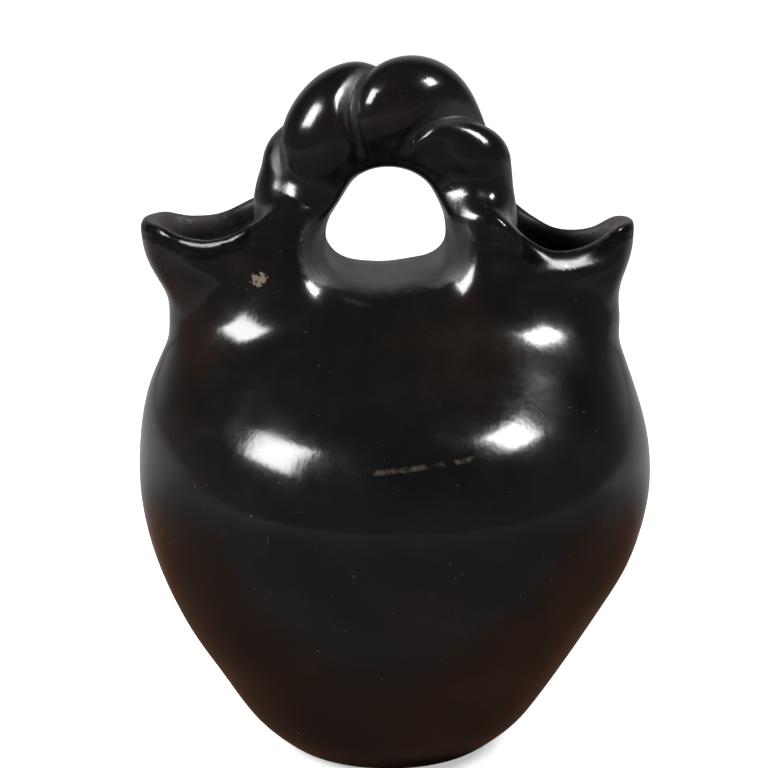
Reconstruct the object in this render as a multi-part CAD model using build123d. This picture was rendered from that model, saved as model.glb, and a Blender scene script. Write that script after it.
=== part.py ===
from build123d import *
import os
from math import acos, cos, pi, radians, sin

# A coil-built blackware jar: a round belly on a small foot, an oval neck that parts into
# two spouts, a saddle between them, and a handle of two clay strands twisted like rope.
# Millimetres. X runs from the left spout to the right one, the front faces -Y, Z is up.
# The origin is on the surface that the jar stands on, under the middle of the belly.

# Belly and foot
BELLY_WIDTH = 171.0
BELLY_DEPTH = 168.0
BELLY_HEIGHT = 98.0
FOOT_WIDTH = 60.0
FOOT_SHIFT = -2.0

# Neck, from the waist up to the tips of the spouts, which stand over the saddle by a rise
WAIST_WIDTH = 149.5
WAIST_DEPTH = 92.0
WAIST_HEIGHT = 152.0
RIM_RISE = 16.2
LEFT_REACH = 84.0
RIGHT_REACH = 78.5
RIM_DEPTH = 57.0
LEFT_DIP = 4.5
RIGHT_DIP = 9.0

# Clay walls
WALL = 5.5
FLOOR = 9.0
LIP_BAND = 7.0

# Saddle between the spouts, by its rise over the waist, and the hand hole over it
SADDLE_RISE = 16.3
SADDLE_THICKNESS = 7.0
HOLE_WIDTH = 40.0
HOLE_HEIGHT = 32.2
HOLE_SHIFT = -3.0
HOLE_FLARE = 5.4

# Rope handle: the height of its feet over the saddle, its rise over them and its thickness
ROPE_FOOT = 19.0
ROPE_RISE = 31.4
ROPE_THICKNESS = 37.4
ROOT_WIDTH = 23.0
ROOT_DEPTH = 54.0
ROOT_TENON = 9.0
ROPE_TURNS = 1.81
ROPE_START_TURN_SHARE = 0.61

# Building courses: the base, and the coils up to a joint that lies under the waist by a drop
BASE_HEIGHT = 14.0
NECK_JOINT_DROP = 6.0
COIL_COUNT = 6
COIL_LAP = 3.0

# How far a cutting shape runs past what it cuts
OVERRUN = 4.0

# Heights that follow from the sizes above
NECK_JOINT = WAIST_HEIGHT - NECK_JOINT_DROP
SADDLE_HEIGHT = WAIST_HEIGHT + SADDLE_RISE
RIM_HEIGHT = SADDLE_HEIGHT + RIM_RISE

# (share of the height up to the belly, share of the growth from foot to belly)
FOOT_TO_BELLY_SHARES = [
    (0.0, 0.0),
    (0.03, 0.12),
    (0.085, 0.24),
    (0.19, 0.38),
    (0.34, 0.55),
    (0.51, 0.74),
    (0.68, 0.89),
    (0.84, 0.97),
    (1.0, 1.0),
]
# (share of the height from belly to waist, share of the width lost, share of the depth lost)
BELLY_TO_WAIST_SHARES = [
    (0.25, 0.08, 0.09),
    (0.48, 0.34, 0.27),
    (0.68, 0.7, 0.52),
    (0.85, 0.93, 0.79),
    (1.0, 1.0, 1.0),
]
# (share of the height from waist to rim, share of the way out to the tips, of the depth lost)
WAIST_TO_RIM_SHARES = [
    (0.25, 0.26, 0.4),
    (0.5, 0.66, 0.68),
    (0.75, 0.93, 0.87),
    (1.0, 1.0, 1.0),
    (1.3, 0.94, 1.15),
]
# Outline of the hand hole: (share of its half width, share of its half height)
HOLE_SHARES = [
    (1.0, -0.28),
    (0.86, 0.33),
    (0.5, 0.85),
    (0.07, 1.0),
    (-0.34, 0.84),
    (-0.68, 0.38),
    (-0.93, -0.12),
    (-0.98, -0.56),
    (-0.7, -0.88),
    (-0.1, -1.0),
    (0.5, -0.92),
    (0.9, -0.73),
]
# Flare of the hand hole: (share of the waist's half depth, share of the flare)
FLARE_SHARES = [(0.0, 0.0), (0.4, 0.25), (0.8, 1.0), (1.3, 2.6)]
# Rim in the front view: (share of the way from the handle out to the tip, share of the dip)
RIM_SHARES = [(1.25, -0.1), (1.0, 0.0), (0.8, 0.55), (0.55, 1.0), (0.3, 0.75), (0.1, 0.1)]
# Shoulder from the rim down to the hand hole: (share of the root's width, share of the fall)
SHOULDER_SHARES = [(0.85, 0.04), (0.5, 0.36), (0.2, 0.7)]
# Mouth in plan: (share of the way from its inner end to the tip, share of its half depth)
MOUTH_SHARES = [(0.0, 0.0), (0.07, 0.55), (0.3, 1.0), (0.6, 0.88), (0.86, 0.52), (1.0, 0.0)]
# Rope's line: (share of its half span, share of its rise, share of its thickness)
ROPE_SHARES = [
    (-0.89, 0.0, 0.7),
    (-0.8, 0.34, 0.84),
    (-0.635, 0.66, 0.94),
    (-0.33, 0.91, 0.98),
    (0.03, 1.0, 1.0),
    (0.36, 0.97, 1.04),
    (0.62, 0.77, 1.0),
    (0.79, 0.515, 0.89),
    (0.895, 0.245, 0.76),
    (0.945, 0.0, 0.66),
]
# Root of the handle: (share of its height, share of its width, share of its depth left over)
ROOT_SHARES = [(0.0, 0.92, 1.0), (0.4, 0.98, 0.92), (0.75, 1.0, 0.52)]


def half(size):
    """Half of a size."""
    return size / 2


def between(start, end, share):
    """The value at a share of the way from start to end."""
    return start + (end - start) * share


def neck_rows():
    """Rows from over the belly up past the rim: height, middle, half width, half depth."""
    rows = []
    for rise, loss, depth_loss in BELLY_TO_WAIST_SHARES:
        height = between(BELLY_HEIGHT, WAIST_HEIGHT, rise)
        width = between(half(BELLY_WIDTH), half(WAIST_WIDTH), loss)
        depth = between(half(BELLY_DEPTH), half(WAIST_DEPTH), depth_loss)
        rows.append((height, 0.0, width, depth))
    reach = half(LEFT_REACH + RIGHT_REACH)
    middle = half(RIGHT_REACH - LEFT_REACH)
    for rise, growth, depth_loss in WAIST_TO_RIM_SHARES:
        height = between(WAIST_HEIGHT, RIM_HEIGHT, rise)
        width = between(half(WAIST_WIDTH), reach, growth)
        depth = between(half(WAIST_DEPTH), half(RIM_DEPTH), depth_loss)
        rows.append((height, middle * growth, width, depth))
    return rows


def foot_rows():
    """Rows from the foot up to the belly: height, middle, half width, half depth."""
    roundness = BELLY_DEPTH / BELLY_WIDTH
    rows = []
    for rise, growth in FOOT_TO_BELLY_SHARES:
        width = between(half(FOOT_WIDTH), half(BELLY_WIDTH), growth)
        rows.append((BELLY_HEIGHT * rise, FOOT_SHIFT * (1 - growth), width, width * roundness))
    return rows


ROWS = foot_rows() + neck_rows()
ROOF_HEIGHT = ROWS[-1][0]
WIDEST = max(row[2] for row in ROWS)
DEEPEST = max(row[3] for row in ROWS)
CEILING_HEIGHT = SADDLE_HEIGHT - SADDLE_THICKNESS
ROPE_FOOT_HEIGHT = SADDLE_HEIGHT + ROPE_FOOT


def row_at(height):
    """The middle, half width and half depth of the pot's outside at a height."""
    for low, high in zip(ROWS, ROWS[1:]):
        if height <= high[0]:
            break
    share = (height - low[0]) / (high[0] - low[0])
    return [between(low[i], high[i], share) for i in (1, 2, 3)]


def oval_loft(rows, inset, ruled=False):
    """A solid through oval rows, each drawn in by an inset."""
    faces = [Pos(x, 0, z) * Ellipse(a - inset, b - inset) for z, x, a, b in rows]
    return loft(faces, ruled=ruled)


def pot_outside():
    """The outside of the pot, run up past the rims."""
    return oval_loft(ROWS, 0)


def pot_inside():
    """The hollow of the pot, from its floor up past the rims."""
    low = [FLOOR, *row_at(FLOOR)]
    rows = [low] + [row for row in ROWS if row[0] > FLOOR + OVERRUN]
    z, x, a, b = ROWS[-1]
    return oval_loft(rows + [(z + OVERRUN, x, a, b)], WALL)


def over_joint(height):
    """Everything over a bevelled joint, so that each course laps inside the one below it."""
    x, a, b = row_at(height)
    slope = COIL_LAP / WALL
    inward = WALL + OVERRUN
    outward = max(WIDEST - a, DEEPEST - b) + OVERRUN
    wide, deep = a + outward, b + outward
    rows = [
        (height - slope * OVERRUN, x, a - inward, b - inward),
        (height + slope * (WALL + outward), x, wide, deep),
        (ROOF_HEIGHT + height, x, wide, deep),
    ]
    return oval_loft(rows, 0, ruled=True)


def hole_edge(sign):
    """Where the hand hole is widest, on the left for -1 and on the right for 1."""
    return HOLE_SHIFT + sign * half(HOLE_WIDTH)


def root_edge(sign):
    """The far side of a handle root, where the mouth of its spout begins."""
    return hole_edge(sign) + sign * ROOT_WIDTH


def hole_face(depth, grow):
    """The hand hole's outline at a depth from the middle, grown on every side."""
    wide = half(HOLE_WIDTH) + grow
    tall = half(HOLE_HEIGHT) + grow
    middle = SADDLE_HEIGHT + half(HOLE_HEIGHT)
    points = [(HOLE_SHIFT + u * wide, depth, middle + v * tall) for u, v in HOLE_SHARES]
    return Face(Wire(Spline(*points, periodic=True)))


def hand_hole():
    """The opening from front to back between the spouts, flared at both faces."""
    front = [(-depth, flare) for depth, flare in reversed(FLARE_SHARES[1:])]
    faces = []
    for depth, flare in front + FLARE_SHARES:
        faces.append(hole_face(half(WAIST_DEPTH) * depth, HOLE_FLARE * flare))
    return loft(faces)


def tip_reach(sign):
    """How far a spout's tip stands out from the middle of the jar."""
    return LEFT_REACH if sign < 0 else RIGHT_REACH


def rim_points(sign):
    """The rim of one spout in the front view, from past its tip in to the handle."""
    dip = LEFT_DIP if sign < 0 else RIGHT_DIP
    root = root_edge(sign)
    span = sign * tip_reach(sign) - root
    return [(root + span * u, 0, RIM_HEIGHT - dip * v) for u, v in RIM_SHARES]


def shoulder_points(sign):
    """From the rim's inner end down beside the handle root to the hand hole."""
    points = []
    for u, v in SHOULDER_SHARES:
        x = hole_edge(sign) + sign * ROOT_WIDTH * u
        points.append((x, 0, between(RIM_HEIGHT, SADDLE_HEIGHT + OVERRUN, v)))
    return points


def through_the_jar(line, top):
    """Everything over a line of the front view, up to a height, from front to back."""
    start, end = line @ 0, line @ 1
    edge = Polyline(end, (end.X, 0, top), (start.X, 0, top), start)
    face = Face(Wire([*line.edges(), *edge.edges()]))
    return extrude(face, amount=DEEPEST + OVERRUN, dir=(0, 1, 0), both=True)


def over_rims():
    """Everything over both rims and over the shoulders and saddle between them."""
    left = Spline(*rim_points(-1), *shoulder_points(-1))
    right = Spline(*reversed(shoulder_points(1)), *reversed(rim_points(1)))
    line = Curve() + [left, Line(left @ 1, right @ 0), right]
    return through_the_jar(line, ROOF_HEIGHT + OVERRUN)


def over_lip(sign):
    """Everything over the joint between one spout and its lip."""
    low = [(x, y, z - LIP_BAND) for x, y, z in rim_points(sign)]
    end = (root_edge(sign), 0, low[-1][2])
    return through_the_jar(Spline(*low, end), ROOF_HEIGHT + OVERRUN)


def mouth_face(sign, height):
    """The outline of one spout's throat at a height."""
    x, a, b = row_at(height)
    inner = root_edge(sign) + sign * half(WALL)
    outer = x + sign * (a - WALL)
    deep = b - WALL
    near = [(between(inner, outer, u), -deep * v, height) for u, v in MOUTH_SHARES]
    far = [(px, -py, pz) for px, py, pz in reversed(near[1:-1])]
    return Face(Wire(Spline(*near, *far, periodic=True)))


def throat(sign):
    """The passage from the hollow of the belly up through one spout."""
    low = CEILING_HEIGHT - OVERRUN
    heights = [between(low, ROOF_HEIGHT, step / 3) for step in range(4)]
    return loft([mouth_face(sign, height) for height in heights])


def beside(edge, sign):
    """Everything on one side of an upright plane across the jar."""
    size = WIDEST + DEEPEST + 2 * ROOF_HEIGHT
    return Pos(edge + sign * half(size), 0, 0) * Box(size, size, size)


def rope_line():
    """The rope's middle line, which keeps half of its thickness as its Y."""
    left = hole_edge(-1) - half(ROOT_WIDTH)
    right = hole_edge(1) + half(ROOT_WIDTH)
    middle, span = half(left + right), half(right - left)
    points = []
    for u, v, thickness in ROPE_SHARES:
        z = ROPE_FOOT_HEIGHT + ROPE_RISE * v
        points.append((middle + span * u, half(ROPE_THICKNESS) * thickness, z))
    return Spline(*points)


def rope_station(line, share):
    """The plane across the rope at a share of its length, and half of its thickness there."""
    point = line @ share
    along = line % share
    tangent = Vector(along.X, 0, along.Z).normalized()
    outward = Vector(-tangent.Z, 0, tangent.X)
    return Plane((point.X, 0, point.Z), x_dir=outward, z_dir=tangent), point.Y


# A strand's section is an oval off the rope's middle, cut flat where the strands meet.
STRAND_OFFSET_SHARE = 0.4
STRAND_DEPTH_SHARE = 0.62
STRAND_WIDTH_SHARE = 0.8
STRAND_POINTS = 9
STRAND_STATIONS = 22


def strand_face(line, share, start_turn):
    """One strand's section at a share of the rope's length."""
    plane, size = rope_station(line, share)
    turn = 2 * pi * (start_turn - ROPE_TURNS * share)
    corner = acos(-STRAND_OFFSET_SHARE / STRAND_DEPTH_SHARE)
    points = []
    for step in range(STRAND_POINTS):
        angle = between(-corner, corner, step / (STRAND_POINTS - 1))
        u = size * (STRAND_OFFSET_SHARE + STRAND_DEPTH_SHARE * cos(angle))
        v = size * STRAND_WIDTH_SHARE * sin(angle)
        points.append((u * cos(turn) - v * sin(turn), u * sin(turn) + v * cos(turn)))
    curve = Spline(*points)
    return plane * make_face([curve, Line(points[-1], points[0])])


def strand(start_turn):
    """One of the two strands of the rope, from foot to foot."""
    line = rope_line()
    steps = [step / STRAND_STATIONS for step in range(STRAND_STATIONS + 1)]
    return loft([strand_face(line, share, start_turn) for share in steps])


def handle_root(sign):
    """The stump that carries one foot of the rope, keyed into the spout below it."""
    plane, size = rope_station(rope_line(), 0 if sign < 0 else 1)
    low = SADDLE_HEIGHT + OVERRUN - ROOT_TENON
    foot_x = hole_edge(sign) + sign * half(ROOT_WIDTH)
    faces = []
    for rise, width, depth in ROOT_SHARES:
        x = between(foot_x, plane.origin.X, rise)
        z = between(low, ROPE_FOOT_HEIGHT, rise)
        wide = between(half(ROOT_WIDTH) * width, size, rise)
        faces.append(Pos(x, 0, z) * Ellipse(wide, between(size, half(ROOT_DEPTH), depth)))
    top = Plane(plane.origin, x_dir=plane.x_dir * sign, z_dir=plane.z_dir * -sign)
    faces.append(top * Ellipse(size, size))
    return loft(faces)


def save(name, shape):
    """Write one sub-part."""
    print(name, round(shape.volume), len(shape.solids()), shape.is_valid)
    export_step(shape, f"parts/{name}.step")


def belly_pieces(outside, hollow):
    """The base and the wall coils, from the bottom up."""
    rest = outside - over_joint(NECK_JOINT) - hollow
    pieces = []
    for step in reversed(range(COIL_COUNT)):
        joint = over_joint(between(BASE_HEIGHT, NECK_JOINT, step / COIL_COUNT))
        pieces.append((f"wall_coil_{step + 1}", rest & joint))
        rest = rest - joint
    pieces.append(("base", rest))
    return pieces


def neck_pieces(outside, hollow):
    """The saddle, spouts, lips and handle roots over the neck joint."""
    ceiling = Pos(0, 0, half(CEILING_HEIGHT)) * Box(4 * WIDEST, 4 * DEEPEST, CEILING_HEIGHT)
    passages = throat(-1) + throat(1)
    neck = (outside & over_joint(NECK_JOINT)) - (hollow & (ceiling + passages))
    neck = neck - hand_hole() - over_rims()
    pieces = []
    for sign, name in ((-1, "left"), (1, "right")):
        root = handle_root(sign) - hand_hole() - passages
        end = beside(hole_edge(sign) - sign * OVERRUN, sign)
        spout = (neck & end) - root
        lip = over_lip(sign)
        pieces.append((f"{name}_spout", spout - lip))
        pieces.append((f"{name}_lip", spout & lip))
        pieces.append((f"{name}_handle_root", root))
        neck = neck - end
    pieces.append(("saddle", neck))
    return pieces


def make_jar():
    """Build every sub-part and write it."""
    os.makedirs("parts", exist_ok=True)
    outside = pot_outside()
    hollow = pot_inside()
    for name, shape in belly_pieces(outside, hollow) + neck_pieces(outside, hollow):
        save(name, shape)
    save("handle_strand_1", strand(ROPE_START_TURN_SHARE))
    save("handle_strand_2", strand(ROPE_START_TURN_SHARE + 0.5))


make_jar()
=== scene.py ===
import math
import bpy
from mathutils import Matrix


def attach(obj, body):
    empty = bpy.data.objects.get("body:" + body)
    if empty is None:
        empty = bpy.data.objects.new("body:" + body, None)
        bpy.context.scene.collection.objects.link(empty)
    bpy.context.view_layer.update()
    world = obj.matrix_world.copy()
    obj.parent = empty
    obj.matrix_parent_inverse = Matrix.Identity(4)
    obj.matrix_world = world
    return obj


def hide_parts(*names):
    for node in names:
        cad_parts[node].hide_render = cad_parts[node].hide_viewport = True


bl_info = {
    "name": "Coil-built jar with a rope handle",
    "version": (1, 0, 0),
    "blender": (4, 5, 0),
    "location": "View3D > Sidebar > Jar",
    "description": "Dresses the packed jar in burnished black clay and sets up a plain studio",
    "category": "Object",
}

import bpy
import numpy as np
from mathutils import Vector

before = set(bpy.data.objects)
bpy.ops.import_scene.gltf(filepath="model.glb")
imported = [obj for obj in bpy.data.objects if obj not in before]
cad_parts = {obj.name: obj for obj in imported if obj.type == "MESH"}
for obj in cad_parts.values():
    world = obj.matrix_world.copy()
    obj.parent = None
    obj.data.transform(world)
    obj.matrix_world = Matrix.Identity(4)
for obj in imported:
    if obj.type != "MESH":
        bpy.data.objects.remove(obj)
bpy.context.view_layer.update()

# The clay is shaped in millimetres in the part's own frame, and MM turns them into metres.
# X runs from the left spout to the right one, the front faces -Y, Z is up.
MM = 0.001
LEFT, RIGHT = -1, 1

# Pot: height, middle, half width, half depth. It closes over in a dome under the saddle.
POT = [
    (-8, -2, 20, 20),
    (0, -2, 32.5, 32.5),
    (5, -2, 39.2, 39.2),
    (10, -1.9, 44.9, 44.8),
    (18, -1.9, 51.3, 51),
    (30, -1.8, 59.1, 58.5),
    (42, -1.9, 66.7, 66),
    (54, -1.4, 73.4, 72.5),
    (66, -0.5, 79.2, 78),
    (78, -0.1, 83.1, 81.8),
    (88, 0.1, 85, 83.6),
    (97, 0.1, 85.5, 84),
    (107, -0.1, 84.8, 82),
    (117, -0.6, 83, 78),
    (126, -0.9, 80.4, 71.5),
    (134, -0.7, 77.4, 62.2),
    (142, -0.3, 74.4, 51.6),
    (150, -0.1, 72.2, 40.8),
    (158, 0, 69, 32),
    (166, 0, 62, 25.4),
    (172, 0, 53, 21),
    (178, 0, 38, 8),
]
# Spouts: height, place and radius of the round inner end, the same of the round tip, and how far
# the flank between them bulges.
SPOUTS = {
    LEFT: [
        (140, -30, 36, -46, 25.5, 0.6),
        (146, -33, 32.4, -49.4, 23.2, 0.9),
        (154, -36.5, 29.8, -53.6, 20.6, 1.2),
        (162, -40, 27.4, -60.4, 18, 1.2),
        (168, -43, 25.6, -64.4, 17, 1.2),
        (173, -46, 23.6, -66.8, 16, 1.1),
        (178, -49.5, 21.8, -68, 15.4, 1),
        (183, -51, 21.8, -68, 15.6, 1),
        (196, -52, 24, -67, 18, 1),
    ],
    RIGHT: [
        (140, 30, 36, 46, 25.5, 0.6),
        (146, 32, 32, 49.8, 23.2, 0.6),
        (154, 33.8, 29.2, 53.6, 19.8, 0.6),
        (162, 36.5, 26.8, 57.8, 17.6, 0.4),
        (168, 39.2, 25.2, 61.6, 15.8, 0.2),
        (173, 40.3, 21.9, 65.9, 12.5, -0.8),
        (178, 41.5, 21.3, 67, 11.7, -1.2),
        (183, 42.5, 23, 67, 12, -1.2),
        (196, 43.5, 25, 67, 14, -1.2),
    ],
}
# Throats inside the spouts, in the same columns. The tips slope gently up to the pouring lips.
THROATS = {
    LEFT: [
        (140, -30, 28, -40, 20, 0),
        (150, -36, 25.5, -47, 18, 0.5),
        (162, -42, 22, -54.5, 15.5, 1),
        (170, -46, 19.5, -59.5, 14, 1),
        (177, -49.5, 18, -63.4, 12.8, 0.6),
        (184, -52, 18.2, -66.6, 13.2, 0.6),
        (196, -55, 21, -68, 18, 0.6),
    ],
    RIGHT: [
        (140, 30, 28, 40, 20, 0),
        (150, 36, 24.5, 47.5, 17.5, 0.5),
        (162, 39.5, 20.5, 55.5, 13.5, 0.5),
        (170, 42, 17.5, 60.5, 10.2, -0.4),
        (177, 43.5, 15.5, 65, 7.9, -1),
        (184, 44.5, 16, 68.4, 8.4, -1),
        (196, 45.5, 18, 70.4, 10.5, -1),
    ],
}
# Rims in the front view: place across the jar, height.
RIMS = {
    LEFT: [
        (-100, 182.4),
        (-84, 182.6),
        (-80, 182.2),
        (-76, 181.9),
        (-71, 179.7),
        (-65, 178.6),
        (-59, 178.9),
        (-54, 180.6),
        (-49.5, 182.7),
        (-45, 184.9),
        (-38, 187.5),
        (-20, 188),
    ],
    RIGHT: [
        (20, 187),
        (35, 185.5),
        (39.5, 181.5),
        (44, 178),
        (50, 175.2),
        (56, 174.2),
        (62, 175.2),
        (68, 178.2),
        (73, 181.4),
        (77, 182.4),
        (81, 182.4),
        (95, 182.2),
    ],
}
# Pillars that carry the handle: height, middle, half width, half depth.
PILLARS = {
    LEFT: [
        (148, -32, 18, 35),
        (160, -33, 14, 27.2),
        (168, -33.5, 11.6, 25),
        (175, -33.4, 10.6, 22.6),
        (184, -33, 10.4, 18.2),
        (192, -31.6, 11.8, 13.8),
        (200, -29.5, 12, 11.5),
        (212, -26, 8, 8),
    ],
    RIGHT: [
        (148, 31, 18, 35),
        (160, 29.5, 14.5, 27.6),
        (168, 28.3, 12, 25.4),
        (175, 27.8, 10.7, 23),
        (184, 27.3, 9.9, 18.6),
        (192, 26.4, 9.5, 14),
        (199, 26, 10, 11.5),
        (212, 22, 7, 8),
    ],
}
# Hand hole around its middle: angle in degrees, distance to its edge.
HOLE_MIDDLE = (-3, 183.5)
HOLE = [
    (-180, 17.6),
    (-157, 21.3),
    (-135, 22.4),
    (-112, 19.9),
    (-90, 18.7),
    (-62, 19.7),
    (-38, 22.4),
    (-18, 20.7),
    (10, 18.1),
    (38, 16.6),
    (62, 15.7),
    (90, 15),
    (112, 14.9),
    (138, 14.9),
    (160, 15.4),
]
# How far the hand hole opens towards its faces: distance from the middle, growth.
FLARE = [(0, 0), (10, 0.3), (20, 1.5), (30, 3.4), (40, 6.2), (60, 13)]
# Line of the rope handle: place across the jar, height, radius.
ROPE = [
    (-33.2, 164, 7),
    (-33.3, 173, 8.6),
    (-33, 181.5, 9.5),
    (-31.8, 189.5, 11.6),
    (-29.6, 196.5, 14.8),
    (-25.8, 203.8, 16.8),
    (-20.4, 210.2, 17.4),
    (-12.6, 215.8, 16.8),
    (-3, 218.4, 17.1),
    (6, 218, 17.1),
    (13.4, 214.4, 15.1),
    (19.2, 208.6, 13.5),
    (23.2, 202, 14.8),
    (25.6, 195, 12.9),
    (27, 187.5, 9.6),
    (27.6, 180, 8.6),
    (27.8, 172, 8),
    (27.8, 164, 7),
]
# The two creases of the rope: angle round the arch, angle round the rope from its outside to
# the front, both in degrees. The arch's angle is 180 at the left foot and 0 at the right one.
ARCH_MIDDLE = (-1.5, 176.3)
CREASES = [
    (-30, -455, -272),
    (10, -452, -272),
    (25, -440, -258),
    (40, -402, -232),
    (53.7, -360, -200),
    (62, -318, -166),
    (70.8, -270, -126),
    (79, -212, -88),
    (87, -174, -50),
    (96, -140, 0),
    (102, -115, 44),
    (107.8, -90, 90),
    (112, -72, 135),
    (120, -42, 180),
    (132.7, 0, 208),
    (140, 32, 222),
    (148, 56, 236),
    (156, 67, 246),
    (170, 70, 250),
    (215, 70, 250),
]
ROPE_FULL_SHARE = 1.02
CREASE_DEPTH_SHARE = 0.32
CREASE_POWER = 3.0
CREASE_SOFT_SHARE = 0.11
# The plain round of clay over the hand hole, inside the rope: its radius, how far it reaches
# into the hole before that is cut, and where it starts.
CORE_RADIUS = 10.5
CORE_FOOT_SHARE = 0.7
CORE_FRONT_SHARE = 0.92
CORE_OVERLAP = 1.0
CORE_FOOT = 186.0
# The ledge where the left strand ends over its pillar: two points across the front.
LEDGE = ((-38.0, 193.6), (-27.5, 188.6))
LEDGE_DEPTH = 1.3
# The shallow finger groove down the front of the right pillar
GROOVE_MIDDLE = 28.5
GROOVE_WIDTH = 2.4
GROOVE_DEPTH = 1.9

# Where the forms start and end, and how wide the rounding is where they meet
SPOUT_START = 143
SPOUT_START_BLEND = 9
SPOUT_BLEND = 7
THROAT_START = 141
THROAT_BLEND = 6
HOLLOW_LOW = 9
HOLLOW_TOP = 160.5
HOLLOW_BLEND = 8
HOLE_WALL_BLEND = 3
PILLAR_START = 160
PILLAR_START_BLEND = 6
PILLAR_END = 200
PILLAR_END_BLEND = 8
PILLAR_BLEND = 7
NECK_START = 150
ROPE_START = 168
ROPE_BLEND = 4
ROPE_FOOT_BLEND = 8
CORE_BLEND = 2.5
HOLE_BLEND = 9
HOLE_BLEND_LOSS = 6.2
FOOT_ROUNDING = 3
# How much higher the rims are at the back: growth with depth, and where across the jar it starts
# and is full
BACK_RIMS = {LEFT: (0.06, -80.0, -70.0), RIGHT: (0.1, 72.0, 58.0)}
# The waver of the hand-built wall: share, lean, and the waves' lengths and starts
WAVES = [
    (1.0, math.inf, (23.0, 27.0, 19.0), (1.3, 0.4, 2.1)),
    (0.5, 31.0, (13.0, 15.0, 12.0), (-0.7, 1.9, 0.3)),
]

# Joints between the pieces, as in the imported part
BASE_TOP = 14
NECK_JOINT = 146
COIL_COUNT = 6
JOINT_RISE_SHARE = 3.0 / 5.5
LIP_BAND = 7
SADDLE_ENDS = {LEFT: -19, RIGHT: 13}
ROOT_ENDS = {LEFT: -46.5, RIGHT: 41}
ROOT_LOW = 177
ROPE_JOINT = 187.3
CUTTER_REACH = 130
CUTTER_INSET = 4
CUTTER_OUTSET = 25
RING_POINTS = 160
LIP_REACH = 100
LIP_POINTS = 40
ABOVE_ALL = 230
STRAND_LOW = 180
STRAND_ROOM = 3
STRAND_FOOT_ROOM = 9
STRAND_POINTS = 17
STRAND_SKIP = 4
# Corners of the boxes that the nets fill
BELLY_NET = ((-90, -88, -2), (90, 88, 153))
NECK_NET = ((-90, -56, 142), (86, 56, 190))
HANDLE_NET = ((-54, -27, 184), (48, 27, 243))

# How far the satin clay reaches round the hand hole, further beside it, round the mouths and
# over the rims, and under what share of the rope's radius its creases are satin
HOLE_MARGIN = 1.2
HOLE_SIDE_MARGIN = 4.4
MOUTH_MARGIN = 3.0
RIM_MARGIN = 1.5
CREASE_SATIN = 0.84
SATIN_LOW = 140
HOLE_SATIN_TOP = 184
CREASE_SATIN_LOW = 190
MOUTH_NEAR = 40
NOT_SATIN = -6.0
SWEEP_LENGTH = 18
# Height of the worn line across the belly
WORN_HEIGHT = 117.8
# A place on the left of the neck where the burnish has chipped
CHIPPED = (-43.5, -26.2, 166.5)

# Sampling of the curves and of the rope, rounds and limits of the searches, reach of the slope
# samples, how near the skin a point or a face counts as on it, and a number next to nothing
CURVE_STEP = 0.05
ROPE_STEP = 0.5
ROPE_SKIP = 6
ROPE_ROUNDS = 4
SPOUT_ROUNDS = 5
NET_ROUNDS = 3
LEAST_SLOPE = 0.05
MOVE_SHARE = 0.6
SLOPE_REACH = 0.12
POINT_ON_SKIN = 0.15
FACE_ON_SKIN = 0.25
TINY = 1e-9

# Relief of the burnished skin, in metres
BUMP_DEPTH = 0.000035
# Softboxes: azimuth from the front to the right in degrees, then height, distance, width and
# tallness in metres, and the watts for each unit of the setting
SOFTBOXES = {
    "left softbox": (-57, 1.25, 1.5, 0.68, 0.85),
    "right softbox": (69, 1.8, 1.5, 0.55, 0.7),
}
SOFTBOX_AIM = (0.0, 0.0, 0.12)
SOFTBOX_WATTS = 6
FLOOR_SIZE = 6.0
# Camera: lens in millimetres, tilt in degrees, then its reach, the height that it looks at and
# its place across the jar in metres
LENS = 139.35
TILT = 15
CAMERA_REACH = 1.0
AIM_HEIGHT = 0.1249
CAMERA_ACROSS = -0.00233


class Curve:
    """A smooth curve through given points, level beyond its ends, read at any place."""

    def __init__(self, points):
        table = np.array(points, float)
        x, y = table[:, 0], table[:, 1:]
        gap = np.diff(x)[:, None]
        slope = np.diff(y, axis=0) / gap
        size = len(x)
        matrix = np.eye(size)
        right = np.zeros_like(y)
        for i in range(1, size - 1):
            matrix[i, i - 1 : i + 2] = gap[i - 1, 0], 2 * (gap[i - 1, 0] + gap[i, 0]), gap[i, 0]
            right[i] = 6 * (slope[i] - slope[i - 1])
        bend = np.linalg.solve(matrix, right)
        self.places = np.arange(x[0], x[-1], CURVE_STEP)
        i = np.clip(np.searchsorted(x, self.places, side="right") - 1, 0, size - 2)
        t = (self.places - x[i])[:, None]
        rest = gap[i] - t
        self.values = (
            (bend[i] * rest**3 + bend[i + 1] * t**3) / (6 * gap[i])
            + (y[i] / gap[i] - bend[i] * gap[i] / 6) * rest
            + (y[i + 1] / gap[i] - bend[i + 1] * gap[i] / 6) * t
        ).T

    def __call__(self, place):
        return [np.interp(place, self.places, row) for row in self.values]

    def slopes(self, place):
        """How fast each value grows with the place."""
        rows = [np.gradient(row, CURVE_STEP) for row in self.values]
        return [np.interp(place, self.places, row) for row in rows]


def soft_max(a, b, reach):
    """The larger of two fields, rounded where they cross."""
    mix = np.maximum(reach - np.abs(a - b), 0) / reach
    return np.maximum(a, b) + mix * mix * reach / 4


def soft_min(a, b, reach):
    """The smaller of two fields, rounded where they cross."""
    return -soft_max(-a, -b, reach)


def smooth_step(low, high, value):
    """0 below low, 1 above high, and smooth between."""
    t = np.clip((value - low) / (high - low), 0, 1)
    return t * t * (3 - 2 * t)


def oval_field(curve, x, y, z):
    """Signed distance to a stack of ovals: negative inside."""
    middle, wide, deep = curve(z)
    middle_slope, wide_slope, deep_slope = curve.slopes(z)
    u, v = (x - middle) / wide, y / deep
    q = np.sqrt(u * u + v * v) + TINY
    rise = u * (middle_slope + u * wide_slope) / wide + v * v * deep_slope / deep
    steep = np.sqrt((u / wide) ** 2 + (v / deep) ** 2 + rise**2) / q
    return (q - 1) / (steep + TINY)


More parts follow.
